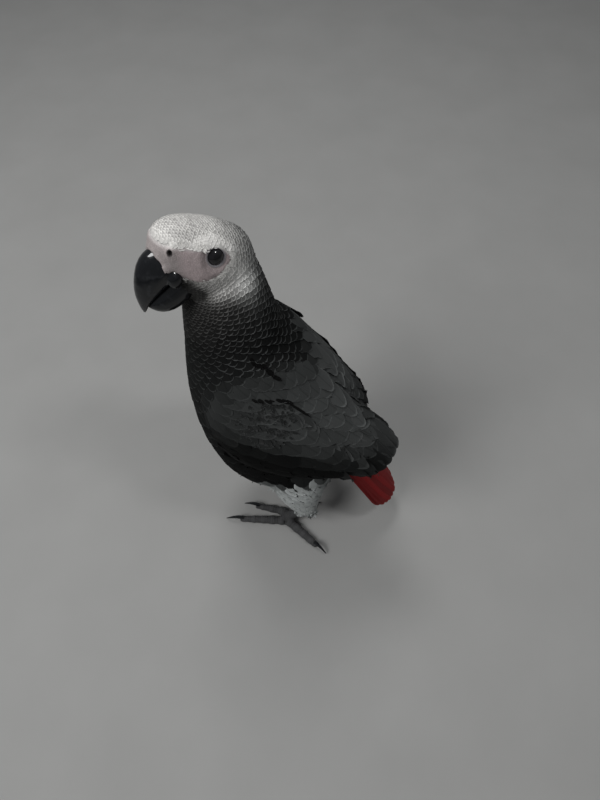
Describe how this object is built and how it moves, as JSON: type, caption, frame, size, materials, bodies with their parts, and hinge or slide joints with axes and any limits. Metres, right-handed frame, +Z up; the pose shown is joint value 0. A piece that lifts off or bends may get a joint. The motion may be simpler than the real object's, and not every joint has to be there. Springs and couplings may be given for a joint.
{
  "type": "grey parrot",
  "caption": "Young grey parrot as a still life-size model, standing upright with its head turned to its left, wings folded and a short red tail.",
  "frame": {"origin": "middle of the outline box, at the level of the soles", "axes": "+Z up, the body faces -Y, the bird's left side is +X"},
  "size_m": [0.1178, 0.1634, 0.2905],
  "materials": {
    "bill": "polished horn",
    "breast": "dark feather",
    "cere": "bare skin",
    "claw": "horn",
    "eye": "wet",
    "foot": "scaly skin",
    "head": "pale feather",
    "neck": "dark scalloped feather",
    "tail": "crimson feather",
    "thigh": "pale downy feather",
    "wing": "slate grey feather"
  },
  "bodies": {
    "root": {"cere": "cere", "head": "head", "left_claw_1": "claw", "left_claw_2": "claw", "left_claw_3": "claw", "left_claw_4": "claw", "left_eye": "eye", "left_tarsus": "foot", "left_thigh": "thigh", "left_toe_1": "foot", "left_toe_2": "foot", "left_toe_3": "foot", "left_toe_4": "foot", "left_wing": "wing", "lower_bill": "bill", "neck": "neck", "right_claw_1": "claw", "right_claw_2": "claw", "right_claw_3": "claw", "right_claw_4": "claw", "right_eye": "eye", "right_tarsus": "foot", "right_thigh": "thigh", "right_toe_1": "foot", "right_toe_2": "foot", "right_toe_3": "foot", "right_toe_4": "foot", "right_wing": "wing", "tail": "tail", "trunk": "breast", "upper_bill": "bill"}
  },
  "joints": []
}
